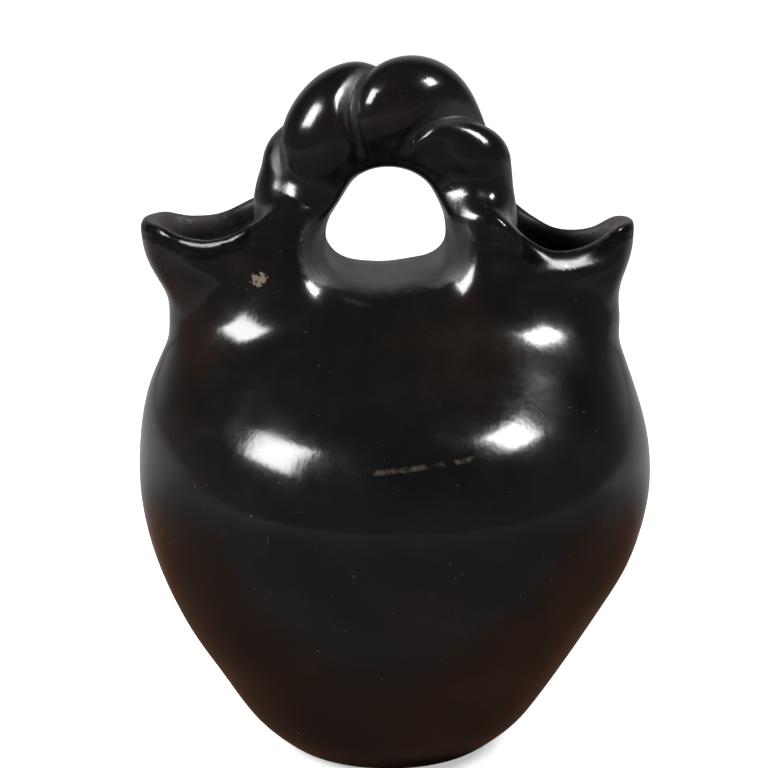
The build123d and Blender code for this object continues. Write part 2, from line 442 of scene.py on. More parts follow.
def spout_field(curve, side, x, y, z):
    """Signed distance to a stack of plan outlines, each round an inner end, a flank and a tip."""
    inner, inner_radius, tip, tip_radius, bulge = curve(z)
    along = (x - inner) * side
    across = np.abs(y)
    length = (tip - inner) * side
    share = np.clip(along / length, 0, 1)
    for _ in range(SPOUT_ROUNDS):
        lean = (inner_radius - tip_radius - 4 * bulge * (1 - 2 * share)) / length
        stand = np.sqrt(1 - np.clip(lean, -0.95, 0.95) ** 2)
        aim = (along - across * lean / stand) / length
        steep = np.maximum(1 + across * 8 * bulge / (length**2 * stand**3), 0.6)
        share = np.clip(share + (aim - share) / steep, 0, 1)
    radius = inner_radius + (tip_radius - inner_radius) * share + 4 * bulge * share * (1 - share)
    return np.hypot(along - length * share, across) - radius


class Clay:
    """The jar's clay as one field in millimetres: negative inside, zero on its skin."""

    def __init__(self, sizes):
        self.wall = sizes.wall / MM
        self.lip = sizes.lip_rounding / MM
        self.waver = sizes.waver / MM
        self.pot = Curve(POT)
        self.spouts = {side: Curve(SPOUTS[side]) for side in SPOUTS}
        self.throats = {side: Curve(THROATS[side]) for side in THROATS}
        self.rims = {side: Curve(RIMS[side]) for side in RIMS}
        self.pillars = {side: Curve(PILLARS[side]) for side in PILLARS}
        turn = [(angle + 360, reach) for angle, reach in HOLE]
        back = [(angle - 360, reach) for angle, reach in HOLE]
        self.hole = Curve(back + HOLE + turn)
        self.flare = Curve(FLARE)
        self.creases = Curve(CREASES)
        self.line = self.rope_line()

    def rope_line(self):
        """Close points along the rope: place, height, radius, direction and bend at each."""
        points = np.array(ROPE)
        steps = np.hypot(np.diff(points[:, 0]), np.diff(points[:, 1]))
        runs = np.concatenate([[0], np.cumsum(steps)])
        curve = Curve(np.column_stack([runs, points]))
        along = np.arange(0, runs[-1], ROPE_STEP)
        x, z, radius = curve(along)
        dx, dz, _ = curve.slopes(along)
        size = np.hypot(dx, dz)
        turn = -np.gradient(np.unwrap(np.arctan2(dz, dx)), ROPE_STEP)
        names = ("s", "x", "z", "r", "tx", "tz", "bend")
        return dict(zip(names, (along, x, z, radius, dx / size, dz / size, turn)))

    def rope_place(self, x, y, z):
        """Where points lie on the rope: outwards and to the front, its radius and middle."""
        line = self.line
        far = np.full(x.shape, np.inf)
        s = np.zeros(x.shape)
        for i in range(0, len(line["s"]), ROPE_SKIP):
            gap = np.hypot(x - line["x"][i], z - line["z"][i]) - line["r"][i]
            closer = gap < far
            far[closer] = gap[closer]
            s[closer] = line["s"][i]
        for _ in range(ROPE_ROUNDS):
            cx, cz, radius, tx, tz, bend = [
                np.interp(s, line["s"], line[k]) for k in ("x", "z", "r", "tx", "tz", "bend")
            ]
            out = -(x - cx) * tz + (z - cz) * tx
            ahead = (x - cx) * tx + (z - cz) * tz
            s = s + ahead / np.maximum(1 + bend * out, 0.25)
        return out, -y, radius, cx, cz

    def rope_field(self, x, y, z):
        """The rope with its two creases and the plain core over the hand hole."""
        out, front, radius, cx, cz = self.rope_place(x, y, z)
        arch = np.degrees(np.arctan2(cz - ARCH_MIDDLE[1], cx - ARCH_MIDDLE[0]))
        arch = np.where(arch < -90, arch + 360, arch)
        first, second = self.creases(arch)
        width = second - first
        around = np.mod(np.degrees(np.arctan2(front, out)) - first, 360)
        in_one = around < width
        room = np.where(in_one, width, 360 - width)
        into = np.where(in_one, around, around - width)
        near = np.minimum(into, room - into) / (room / 2)
        near = np.sqrt(near * near + CREASE_SOFT_SHARE**2) - CREASE_SOFT_SHARE
        reach = radius * (ROPE_FULL_SHARE - CREASE_DEPTH_SHARE * np.maximum(1 - near, 0) ** CREASE_POWER)
        grown = smooth_step(CORE_FOOT, CORE_FOOT + 14, z)
        thick = CORE_RADIUS * (CORE_FOOT_SHARE + (1 - CORE_FOOT_SHARE) * grown)
        off_hole = self.hole_field(x, 0, z) - thick + CORE_OVERLAP
        core = np.hypot(off_hole, front * CORE_FRONT_SHARE) - thick
        core = np.maximum(core, CORE_FOOT - z)
        return soft_min((np.hypot(out, front) - reach) * 0.9, core, CORE_BLEND)

    def hole_field(self, x, y, z):
        """Distance into the hand hole: negative in the opening."""
        dx, dz = x - HOLE_MIDDLE[0], z - HOLE_MIDDLE[1]
        angle = np.degrees(np.arctan2(dz, dx))
        edge = self.hole(angle)[0]
        lean = self.hole.slopes(angle)[0] * 180 / math.pi / edge
        return (np.hypot(dx, dz) - edge) / np.sqrt(1 + lean * lean) - self.flare(np.abs(y))[0]

    def outside(self, x, y, z):
        """The pot and the spouts as if they were solid."""
        field = oval_field(self.pot, x, y, z)
        for side in (LEFT, RIGHT):
            spout = spout_field(self.spouts[side], side, x, y, z)
            spout = soft_max(spout, SPOUT_START - z, SPOUT_START_BLEND)
            field = soft_min(field, spout, SPOUT_BLEND)
        return field

    def hollow(self, x, y, z):
        """The hollow of the belly and the two throats."""
        pot = oval_field(self.pot, x, y, z) + self.wall
        field = soft_max(pot, z - HOLLOW_TOP, HOLLOW_BLEND)
        field = soft_max(field, HOLLOW_LOW - z, HOLLOW_BLEND)
        for side in (LEFT, RIGHT):
            throat = spout_field(self.throats[side], side, x, y, z)
            throat = np.maximum(throat, THROAT_START - z)
            field = soft_min(field, throat, THROAT_BLEND)
        return soft_max(field, self.wall - self.hole_field(x, y, z), HOLE_WALL_BLEND)

    def over_rims(self, x, y, z):
        """Everything over the rims of the spouts."""
        rims = []
        for side in (LEFT, RIGHT):
            growth, start, full = BACK_RIMS[side]
            rise = growth * np.maximum(y, 0) * smooth_step(start, full, x)
            rims.append(self.rims[side](x)[0] + rise)
        return (z - np.where(x < 0, *rims)) * 0.95

    def ledge(self, x, y, z):
        """A shallow fold where the left strand is pressed onto its pillar."""
        (ax, az), (bx, bz) = LEDGE
        length = math.hypot(bx - ax, bz - az)
        along = ((x - ax) * (bx - ax) + (z - az) * (bz - az)) / length**2
        off = ((x - ax) * (bz - az) - (z - az) * (bx - ax)) / length
        fade = smooth_step(-0.25, 0.15, along) * smooth_step(1.25, 0.85, along)
        return LEDGE_DEPTH * np.exp(-np.abs(off) / LEDGE_DEPTH) * fade * smooth_step(0, -6, y)

    def groove(self, x, y, z):
        """The shallow finger groove down the front of the right pillar."""
        fade = smooth_step(172, 184, z) * smooth_step(200, 193, z) * smooth_step(0, -5, y)
        return GROOVE_DEPTH * np.exp(-(((x - GROOVE_MIDDLE) / GROOVE_WIDTH) ** 2)) * fade

    def unevenness(self, x, y, z):
        """The slow waver of a wall that was built and scraped by hand."""
        total = 0
        for share, lean, (wide, deep, tall), (a, b, c) in WAVES:
            wave = np.sin(x / wide + a + z / lean) * np.sin(y / deep + b) * np.sin(z / tall + c)
            total = total + share * wave
        return total

    def skin(self, x, y, z):
        """The whole jar."""
        field = self.outside(x, y, z) + self.waver * self.unevenness(x, y, z)
        neck = z > NECK_START
        if neck.any():
            rim = np.full_like(field, -50.0)
            rim[neck] = self.over_rims(x[neck], y[neck], z[neck])
            field = soft_max(field, rim, self.lip)
        field = soft_max(field, -self.hollow(x, y, z), self.lip * 0.9)
        if neck.any():
            field[neck] = self.with_handle(field[neck], x[neck], y[neck], z[neck])
        return soft_max(field, -z, FOOT_ROUNDING)

    def with_handle(self, field, x, y, z):
        """Adds the pillars and the rope, and opens the hand hole."""
        for side in (LEFT, RIGHT):
            pillar = oval_field(self.pillars[side], x, y, z)
            pillar = soft_max(pillar, PILLAR_START - z, PILLAR_START_BLEND)
            pillar = soft_max(pillar, z - PILLAR_END, PILLAR_END_BLEND)
            field = soft_min(field, pillar, PILLAR_BLEND)
        rope = np.maximum(self.rope_field(x, y, z), ROPE_START - z)
        rope = rope + self.ledge(x, y, z) + self.groove(x, y, z)
        field = soft_min(field, rope, ROPE_BLEND + ROPE_FOOT_BLEND * smooth_step(200, 186, z))
        reach = HOLE_BLEND - HOLE_BLEND_LOSS * smooth_step(172, 190, z)
        return soft_max(field, -self.hole_field(x, y, z), reach)

    def slope(self, points):
        """Direction in which the field grows fastest, with its size."""
        result = np.empty_like(points)
        for axis in range(3):
            ahead, behind = points.copy(), points.copy()
            ahead[:, axis] += SLOPE_REACH
            behind[:, axis] -= SLOPE_REACH
            result[:, axis] = (self.skin(*ahead.T) - self.skin(*behind.T)) / (2 * SLOPE_REACH)
        return result


def net_over(clay, low, high, step):
    """A closed net of four-sided faces over the clay inside a box."""
    low, high = np.array(low, float), np.array(high, float)
    counts = np.ceil((high - low) / step).astype(int) + 3
    axes = [low[i] - step + step * np.arange(counts[i]) for i in range(3)]
    values = np.empty(counts)
    x, y = np.meshgrid(axes[0], axes[1], indexing="ij")
    for level, z in enumerate(axes[2]):
        if z < low[2] or z > high[2]:
            values[:, :, level] = step
            continue
        flat = clay.skin(x.ravel(), y.ravel(), np.full(x.size, z))
        values[:, :, level] = flat.reshape(x.shape)
    inside = values < 0
    cells = counts - 1
    total = np.zeros((*cells, 3))
    crossings = np.zeros(cells)
    faces = []
    for axis in range(3):
        first = [slice(None)] * 3
        second = [slice(None)] * 3
        first[axis], second[axis] = slice(0, -1), slice(1, None)
        a, b = values[tuple(first)], values[tuple(second)]
        crossed = inside[tuple(first)] != inside[tuple(second)]
        share = np.where(crossed, a / np.where(crossed, a - b, 1), 0)
        others = [i for i in range(3) if i != axis]
        for shift in ((0, 0), (1, 0), (0, 1), (1, 1)):
            cut = [slice(None)] * 3
            for other, move in zip(others, shift):
                cut[other] = slice(1, None) if move else slice(0, -1)
            here = crossed[tuple(cut)]
            crossings += here
            total[..., axis] += share[tuple(cut)] * here
            for other, move in zip(others, shift):
                total[..., other] += move * here
        where = np.argwhere(crossed)
        u, v = others
        good = (where[:, u] > 0) & (where[:, v] > 0)
        where = where[good]
        forward = inside[tuple(first)][tuple(where.T)]
        if axis == 1:
            forward = ~forward
        ring = []
        for du, dv in ((-1, -1), (0, -1), (0, 0), (-1, 0)):
            corner = where.copy()
            corner[:, u] += du
            corner[:, v] += dv
            ring.append(np.ravel_multi_index(corner.T, cells))
        ring = np.array(ring).T
        ring[~forward] = ring[~forward][:, ::-1]
        faces.append(ring)
    faces = np.concatenate(faces)
    used, faces = np.unique(faces, return_inverse=True)
    faces = faces.reshape(-1, 4)
    place = np.array(np.unravel_index(used, cells)).T
    flat_total, flat_count = total.reshape(-1, 3)[used], crossings.ravel()[used]
    points = place + flat_total / flat_count[:, None]
    points = np.array([axis[0] for axis in axes]) + points * step
    for _ in range(NET_ROUNDS):
        free = (points[:, 2] > low[2] + step) & (points[:, 2] < high[2] - step)
        moved = points[free]
        slope = clay.slope(moved)
        size = np.maximum((slope**2).sum(axis=1), LEAST_SLOPE)
        push = slope * (clay.skin(*moved.T) / size)[:, None]
        far = np.linalg.norm(push, axis=1)[:, None]
        points[free] = moved - push * np.minimum(1, MOVE_SHARE * step / (far + TINY))
    return points, faces


def mesh_object(name, points, faces):
    """A mesh object from points in millimetres."""
    mesh = bpy.data.meshes.new(name)
    mesh.from_pydata((np.asarray(points) * MM).tolist(), [], [list(map(int, f)) for f in faces])
    mesh.update()
    piece = bpy.data.objects.new(name, mesh)
    bpy.context.scene.collection.objects.link(piece)
    return piece


def cut_piece(name, source, cutter, operation):
    """A new piece: source with a cutter taken away (DIFFERENCE) or kept inside it (INTERSECT)."""
    modifier = source.modifiers.new("cut", "BOOLEAN")
    modifier.operation = operation
    modifier.object = cutter
    modifier.solver = "MANIFOLD"
    graph = bpy.context.evaluated_depsgraph_get()
    mesh = bpy.data.meshes.new_from_object(source.evaluated_get(graph))
    source.modifiers.remove(modifier)
    mesh.name = name
    if not len(mesh.polygons):
        raise RuntimeError(f"the cut that makes {name} left nothing")
    piece = bpy.data.objects.new(name, mesh)
    bpy.context.scene.collection.objects.link(piece)
    return piece


def drop(*pieces):
    """Remove helper objects and their meshes."""
    for piece in pieces:
        mesh = piece.data
        bpy.data.objects.remove(piece)
        bpy.data.meshes.remove(mesh)


def block(name, low, high):
    """A box-shaped cutter between two corners."""
    corners = [(x, y, z) for x in (low[0], high[0]) for y in (low[1], high[1]) for z in (low[2], high[2])]
    faces = [(0, 1, 3, 2), (4, 6, 7, 5), (0, 4, 5, 1), (2, 3, 7, 6), (0, 2, 6, 4), (1, 5, 7, 3)]
    return mesh_object(name, corners, faces)


def rings_solid(name, rings):
    """A cutter lofted through rings of points, with its ends closed."""
    count = len(rings[0])
    points = [point for ring in rings for point in ring]
    faces = []
    for row in range(len(rings) - 1):
        for i in range(count):
            j = (i + 1) % count
            low, high = row * count, (row + 1) * count
            faces.append((low + i, low + j, high + j, high + i))
    faces.append(tuple(range(count))[::-1])
    faces.append(tuple(range(len(points) - count, len(points))))
    return mesh_object(name, points, faces)


def joint_cutter(clay, height):
    """Everything over a bevelled joint between two courses."""
    middle, wide, deep = [float(value) for value in clay.pot(height)]
    inward, outward = clay.wall + CUTTER_INSET, CUTTER_OUTSET
    rows = [
        (height - CUTTER_INSET * JOINT_RISE_SHARE, wide - inward, deep - inward),
        (height + (clay.wall + outward) * JOINT_RISE_SHARE, wide + outward, deep + outward),
        (height + CUTTER_REACH, wide + outward, deep + outward),
    ]
    turns = np.linspace(0, 2 * math.pi, RING_POINTS, endpoint=False)
    rings = []
    for z, a, b in rows:
        rings.append([(middle + a * math.cos(t), b * math.sin(t), z) for t in turns])
    return rings_solid("joint cutter", rings)


def lip_cutter(clay, side):
    """Everything over the joint between a spout and its lip."""
    end = ROOT_ENDS[side]
    places = np.linspace(end, side * LIP_REACH, LIP_POINTS)
    line = [(float(x), float(clay.rims[side](x)[0]) - LIP_BAND) for x in places]
    outline = line + [(side * LIP_REACH, ABOVE_ALL), (end, ABOVE_ALL)]
    rings = [[(x, y, z) for x, z in outline] for y in (-CUTTER_REACH, CUTTER_REACH)]
    if side == LEFT:
        rings.reverse()
    return rings_solid("lip cutter", rings)


def strand_cutter(clay):
    """The half of the rope that holds its first strand, out to beyond its skin."""
    line = clay.line
    rings = []
    for i in range(0, len(line["s"]), STRAND_SKIP):
        cx, cz, tx, tz = (line[k][i] for k in ("x", "z", "tx", "tz"))
        if cz < STRAND_LOW:
            continue
        arch = math.degrees(math.atan2(cz - ARCH_MIDDLE[1], cx - ARCH_MIDDLE[0]))
        first, second = [float(value) for value in clay.creases(arch)]
        reach = line["r"][i] + STRAND_ROOM + STRAND_FOOT_ROOM * float(smooth_step(200, 190, cz))
        ring = [(cx, 0.0, cz)]
        for angle in np.radians(np.linspace(first, second, STRAND_POINTS)):
            out, front = reach * math.cos(angle), reach * math.sin(angle)
            ring.append((cx - tz * out, -front, cz + tx * out))
        rings.append(ring)
    return rings_solid("strand cutter", rings)


def read_all(items, name, width=1, kind=float):
    """One property of every item, as an array."""
    values = np.empty(len(items) * width, kind)
    items.foreach_get(name, values)
    return values.reshape(-1, width) if width > 1 else values


def dress(piece, clay, material, node):
    """Gives a piece its smooth shading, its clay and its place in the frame."""
    mesh = piece.data
    points = read_all(mesh.vertices, "co", 3) / MM
    slope = clay.slope(points)
    slope /= np.linalg.norm(slope, axis=1)[:, None] + TINY
    on_skin = np.abs(clay.skin(*points.T)) < POINT_ON_SKIN
    corners = read_all(mesh.loops, "vertex_index", kind=np.int32)
    totals = read_all(mesh.polygons, "loop_total", kind=np.int32)
    normals = read_all(mesh.polygons, "normal", 3)
    owner = np.repeat(np.arange(len(totals)), totals)
    centres = np.zeros((len(totals), 3))
    np.add.at(centres, owner, points[corners])
    centres /= totals[:, None]
    facing = (clay.slope(centres) * normals).sum(axis=1)
    skin_face = (np.abs(clay.skin(*centres.T)) < FACE_ON_SKIN) & (facing > 0.5)
    smooth = skin_face[owner] & on_skin[corners]
    corner_normals = np.where(smooth[:, None], slope[corners], normals[owner])
    mesh.shade_smooth()
    mesh.normals_split_custom_set(corner_normals.tolist())
    add_marks(mesh, clay, points)
    mesh.materials.clear()
    mesh.materials.append(material)
    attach(piece, "root")
    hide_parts(node)


def add_marks(mesh, clay, points):
    """Stores on the clay where it is satin, its own place, and the sweep of strokes in the hole."""
    x, y, z = points.T
    hole = clay.hole_field(x, y, z)
    beside = smooth_step(9, 19, np.abs(x - HOLE_MIDDLE[0]))
    margin = HOLE_MARGIN + HOLE_SIDE_MARGIN * beside * smooth_step(160, 170, z)
    satin = np.minimum(margin - hole, 0.5 * (HOLE_SATIN_TOP - z))
    mouth = np.minimum(MOUTH_MARGIN - clay.hollow(x, y, z), 0.5 * (np.abs(x) - MOUTH_NEAR))
    mouth = np.minimum(mouth, RIM_MARGIN - clay.over_rims(x, y, z))
    satin = np.where(z > SATIN_LOW, np.maximum(satin, mouth), NOT_SATIN)
    angle = np.arctan2(z - HOLE_MIDDLE[1], x - HOLE_MIDDLE[0])
    sweep = np.stack([y, hole, angle * SWEEP_LENGTH], axis=1)
    out, front, radius = clay.rope_place(x, y, z)[:3]
    crease = 14 * (CREASE_SATIN - np.hypot(out, front) / radius)
    over = z - CREASE_SATIN_LOW
    satin = np.where(over > 0, np.maximum(satin, np.minimum(crease, 0.5 * over)), satin)
    values = {"satin": satin, "grain": points, "sweep": sweep}
    for name, value in values.items():
        kind = "FLOAT" if value.ndim == 1 else "FLOAT_VECTOR"
        mark = mesh.attributes.new(name, kind, "POINT")
        field = "value" if value.ndim == 1 else "vector"
        mark.data.foreach_set(field, value.astype(np.float32).ravel())


class Term:
    """A socket in a sum: sums on it add their own nodes."""

    def __init__(self, tree, socket):
        self.tree, self.socket = tree, socket

    def maths(self, operation, first, second=0.0, third=0.0):
        """A Math node on up to three numbers or terms."""
        return self.tree.add("ShaderNodeMath", {"operation": operation}, (first, second, third))

    def size(self):
        """The value without its sign."""
        return self.maths("ABSOLUTE", self)

    def __add__(self, other):
        return self.maths("ADD", self, other)

    def __sub__(self, other):
        return self.maths("SUBTRACT", self, other)

    def __rsub__(self, other):
        return self.maths("SUBTRACT", other, self)

    def __mul__(self, other):
        return self.maths("MULTIPLY", self, other)

    __radd__ = __add__
    __rmul__ = __mul__

    def step(self, low, high):
        """0 below low, 1 above high, and smooth between."""
        settings = {"interpolation_type": "SMOOTHSTEP"}
        inputs = {"Value": self, "From Min": low, "From Max": high}
        return self.tree.add("ShaderNodeMapRange", settings, inputs, "Result")


class Nodes:
    """The node tree of a material or the world, filled by add."""

    def __init__(self, owner):
        owner.use_nodes = True
        self.tree = owner.node_tree
        self.tree.nodes.clear()

    def add(self, kind, settings=None, inputs=None, output=0):
        """A node of a type, its settings, and the values or terms of its sockets."""
        node = self.tree.nodes.new(kind)
        for name, value in (settings or {}).items():
            setattr(node, name, value)
        pairs = inputs.items() if isinstance(inputs, dict) else enumerate(inputs or ())
        for name, value in pairs:
            if isinstance(value, Term):
                self.tree.links.new(value.socket, node.inputs[name])
            else:
                node.inputs[name].default_value = value
        return Term(self, node.outputs[output]) if len(node.outputs) else node

    def mark(self, name, output="Vector"):
        """A value stored on the clay."""
        return self.add("ShaderNodeAttribute", {"attribute_name": name}, {}, output)

    def stretch(self, vector, shares):
        """A vector with each direction scaled."""
        return self.add("ShaderNodeVectorMath", {"operation": "MULTIPLY"}, (vector, shares))

    def noise(self, vector, scale, detail=2.0, rough=0.5):
        """Soft noise between 0 and 1."""
        inputs = {"Vector": vector, "Scale": scale, "Detail": detail, "Roughness": rough}
        return self.add("ShaderNodeTexNoise", {}, inputs, "Fac")

    def part(self, vector, axis):
        """A vector's part along X, Y or Z."""
        return self.add("ShaderNodeSeparateXYZ", {}, (vector,), axis)

    def mix(self, share, *colours):
        """A colour between two colours."""
        first, second = [c if isinstance(c, Term) else rgba(c) for c in colours]
        inputs = {0: share, 6: first, 7: second}
        return self.add("ShaderNodeMix", {"data_type": "RGBA"}, inputs, 2)


def rgba(colour):
    """A colour with full cover."""
    return (*colour, 1.0)


def pale_marks(nodes, grain):
    """How pale the clay is at its specks, its scratches, the worn line and the chipped spot."""
    speck = nodes.add("ShaderNodeTexVoronoi", {}, {"Vector": grain, "Scale": 0.15}, "Distance")
    where_specks = nodes.noise(grain, 0.05, 1.0).step(0.42, 0.62)
    speckled = (0.05 - speck).step(0.0, 0.03) * where_specks
    scratch_place = nodes.stretch(grain, (2.2, 2.2, 0.10))
    scratch = nodes.noise(scratch_place, 1.0, 2.0, 0.4).step(0.735, 0.77)
    scratch = scratch * nodes.noise(grain, 0.09, 1.0).step(0.5, 0.6)
    beside = nodes.part(grain, "X")
    off_line = (nodes.part(grain, "Z") - WORN_HEIGHT - beside * 0.1).size()
    worn = (1.1 - off_line).step(0.0, 1.0) * (beside - 9.0).size().step(22.0, 14.0)
    worn = worn * nodes.noise(grain, 0.3, 4.0).step(0.42, 0.64)
    chip = nodes.add("ShaderNodeVectorMath", {"operation": "DISTANCE"}, (grain, CHIPPED), "Value")
    chipped = (nodes.noise(grain, 0.8, 4.0) + chip.step(5.0, 0.5) * 0.42).step(0.72, 0.86)
    return speckled * 0.7 + scratch * 0.25 + worn * 0.2 + chipped * 0.6


def clay_colour(nodes, colours, grain, striae, satin):
    """Burnished black with faint brown clouds, greyer in the hole, and with painted top light that makes
    the outer lips paler.
    """
    brown = nodes.noise(grain, 0.022, 4.0).step(0.5, 0.75)
    gloss = nodes.mix(brown * 0.6, colours.gloss, colours.brown)
    satin_dark = tuple(share * 0.5 for share in colours.satin)
    in_hole = nodes.mix(striae.step(0.25, 0.75), satin_dark, colours.satin)
    # Painted top light: the upward-facing outer lips take the paler lip colour, which stands in for light
    # falling on them from above.
    outer = nodes.part(grain, "X").size().step(52.0, 62.0)
    outer = outer * nodes.part(grain, "Z").step(169.0, 177.0)
    rubbed = nodes.mix(outer, in_hole, colours.lip)
    clay = nodes.mix(satin, gloss, rubbed)
    return nodes.mix(pale_marks(nodes, grain), clay, colours.fleck)


def clay_material(name, colours):
    """Black clay, stone-burnished where it is glossy and left satin inside the hole and mouths."""
    made = bpy.data.materials.get(name)
    if made:
        return made
    made = bpy.data.materials.new(name)
    nodes = Nodes(made)
    grain = nodes.mark("grain")
    edge = nodes.noise(grain, 0.35, 3.0) - 0.5
    satin = (nodes.mark("satin", "Fac") + edge * 1.6).step(-1.2, 1.2)
    strokes = nodes.stretch(grain, (1.0, 1.0, 0.045))
    fine = nodes.noise(strokes, 1.9, 4.0, 0.65)
    broad = nodes.noise(strokes, 0.45, 2.0)
    patches = nodes.noise(grain, 0.06, 3.0)
    striae = nodes.noise(nodes.stretch(nodes.mark("sweep"), (1.0, 1.0, 0.05)), 1.5, 3.0, 0.65)
    burnish = colours.gloss_roughness * 0.75 + fine.step(0.35, 0.8) * 0.09
    burnish = burnish + patches.step(0.5, 0.75) * 0.07
    relief = (fine * 0.5 + broad) * (1 - satin) + striae * satin * 2.0
    bump = {"Strength": 1.0, "Distance": BUMP_DEPTH, "Height": relief}
    inputs = {
        "Base Color": clay_colour(nodes, colours, grain, striae, satin),
        "Roughness": burnish + satin * (colours.satin_roughness - burnish),
        "Normal": nodes.add("ShaderNodeBump", {}, bump, "Normal"),
        "IOR": 1.42,
        "Coat Weight": (1 - satin) * patches.step(0.3, 0.7) * 0.3,
        "Coat Roughness": 0.3,
        "Coat IOR": 1.4,
    }
    shader = nodes.add("ShaderNodeBsdfPrincipled", {}, inputs, "BSDF")
    nodes.add("ShaderNodeOutputMaterial", {}, {"Surface": shader})
    return made


def floor_material(studio):
    """A pale floor with the jar's shadow on it, which the gloss sees as a painted reflection, dark and
    warm, with painted shadow by the jar.
    """
    made = bpy.data.materials.new("pale floor")
    nodes = Nodes(made)
    camera = nodes.add("ShaderNodeLightPath", {}, {}, "Is Camera Ray")
    glossy = nodes.add("ShaderNodeLightPath", {}, {}, "Is Glossy Ray")
    pale = nodes.add("ShaderNodeBsdfDiffuse", {}, {"Color": rgba(studio.floor)}, "BSDF")
    lift = {"Color": (1, 1, 1, 1), "Strength": studio.floor_lift}
    glow = nodes.add("ShaderNodeEmission", {}, lift, "Emission")
    seen = nodes.add("ShaderNodeAddShader", {}, (pale, glow), "Shader")
    # Painted reflection: the gloss sees painted shade before the jar that lightens further off, a painted
    # dark warm shadow in a strip by the jar's foot, and a lighter painted floor behind it.
    place = nodes.add("ShaderNodeTexCoord", {}, {}, "Object")
    along = nodes.part(place, "Y")
    away = nodes.add("ShaderNodeVectorMath", {"operation": "LENGTH"}, (place,), "Value")
    front = nodes.mix(away.step(0.16, 1.2), studio.painted_shade_front, studio.painted_reflection_far)
    near = along.step(-0.095, -0.066) * away.step(0.42, 0.20)
    beside = nodes.mix(near, front, studio.painted_shadow_near)
    colour = nodes.mix(along.step(0.10, 0.40), beside, studio.painted_reflection_behind)
    shown = nodes.add("ShaderNodeBsdfDiffuse", {}, {"Color": colour}, "BSDF")
    others = nodes.add("ShaderNodeMixShader", {}, (glossy, pale, shown), "Shader")
    surface = nodes.add("ShaderNodeMixShader", {}, (camera, others, seen), "Shader")
    nodes.add("ShaderNodeOutputMaterial", {}, {"Surface": surface})
    return made


def colour_size(text, detail, default):
    """A colour that the user can change."""
    return bpy.props.FloatVectorProperty(
        name=text, description=detail, default=default, size=3, min=0.0, max=1.0, subtype="COLOR"
    )


def length_size(text, detail, default):
    """A length in metres that the user can change."""
    return bpy.props.FloatProperty(
        name=text, description=detail, default=default, min=0.0, unit="LENGTH", precision=5
    )


def share_size(text, detail, default, most=1.0):
    """A plain number that the user can change."""
    return bpy.props.FloatProperty(name=text, description=detail, default=default, min=0.0, max=most)


class ClaySizes(bpy.types.PropertyGroup):
    """Sizes of the hand-built clay."""

    wall: length_size("Wall", "Thickness of the belly's wall", 0.0055)
    lip_rounding: length_size("Lip rounding", "How softly the rims are rounded", 0.0044)
    waver: length_size("Waver", "How far the hand-built skin wavers", 0.00016)
    belly_step: length_size("Belly net", "Width of the faces on the belly", 0.0019)
    neck_step: length_size("Neck net", "Width of the faces on the neck", 0.00095)
    handle_step: length_size("Handle net", "Width of the faces on the handle", 0.0009)


class ClayColours(bpy.types.PropertyGroup):
    """Colours and gloss of the clay."""

    gloss: colour_size("Burnished clay", "Colour of the burnished skin", (0.0030, 0.0028, 0.0027))
    satin: colour_size("Satin clay", "Colour of rubbed, unburnished clay", (0.024, 0.0215, 0.022))
    # The lip colour is painted top light: the outer lips are made paler than the satin clay where light
    # from above falls on them.
    lip: colour_size("Lip clay", "Colour of the rubbed lips", (0.085, 0.074, 0.075))
    brown: colour_size("Brown clay", "Colour of the faint brown clouds", (0.0095, 0.0045, 0.0028))
    fleck: colour_size("Flecks", "Colour of the pale specks and scratches", (0.16, 0.13, 0.10))
    gloss_roughness: share_size("Burnished roughness", "Roughness of the burnished skin", 0.125)
    satin_roughness: share_size("Satin roughness", "Roughness of the satin clay", 0.46)


class StudioSettings(bpy.types.PropertyGroup):
    """Floor, lights and backdrop."""

    floor: colour_size("Floor", "Colour of the floor", (0.72, 0.72, 0.72))
    floor_lift: share_size("Floor lift", "Light that the camera sees added to the floor", 0.45)
    # Painted floor colours that only the gloss sees: a painted dark warm shadow by the jar, painted shade
    # before it, and painted reflections further off and behind.
    painted_shadow_near: colour_size("Near floor", "Floor by the jar, in the gloss", (0.10, 0.05, 0.03))
    painted_shade_front: colour_size("Dark floor", "Floor before the jar, in the gloss", (0.085, 0.079, 0.08))
    painted_reflection_far: colour_size("Far floor", "Floor further off, in the gloss", (0.15, 0.146, 0.15))
    painted_reflection_behind: colour_size("Floor behind", "Floor behind the jar, in the gloss", (0.28, 0.28, 0.29))
    haze: share_size("Haze", "Brightness of the room low in front, as the gloss shows it", 0.15, 10.0)
    softbox: share_size("Softboxes", "Brightness of the two softboxes", 9.0, 100.0)
    fill: share_size("Fill", "Brightness of the room all round", 0.55, 10.0)
    front: share_size("Front", "Brightness of the room in front, as the gloss shows it", 0.02, 10.0)
    backdrop: share_size("Backdrop", "Brightness of the backdrop, as the gloss shows it", 0.72, 10.0)


class JarOperator(bpy.types.Operator):
    """What the operators of the jar share."""

    bl_options = {"REGISTER", "UNDO"}

    def prepare(self, context):
        """The clay and its material."""
        scene = context.scene
        self.clay = Clay(scene.jar_sizes)
        self.sizes = scene.jar_sizes
        self.burnished = clay_material("burnished clay", scene.jar_colours)
        self.satin = clay_material("satin clay", scene.jar_colours)

    def net(self, name, low, high, step):
        """The clay's skin inside a box, as an object."""
        return mesh_object(name, *net_over(self.clay, low, high, step / MM))

    def dress(self, piece, node, slot="burnished_clay"):
        """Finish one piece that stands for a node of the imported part."""
        material = self.satin if slot == "satin_clay" else self.burnished
        dress(piece, self.clay, material, node)


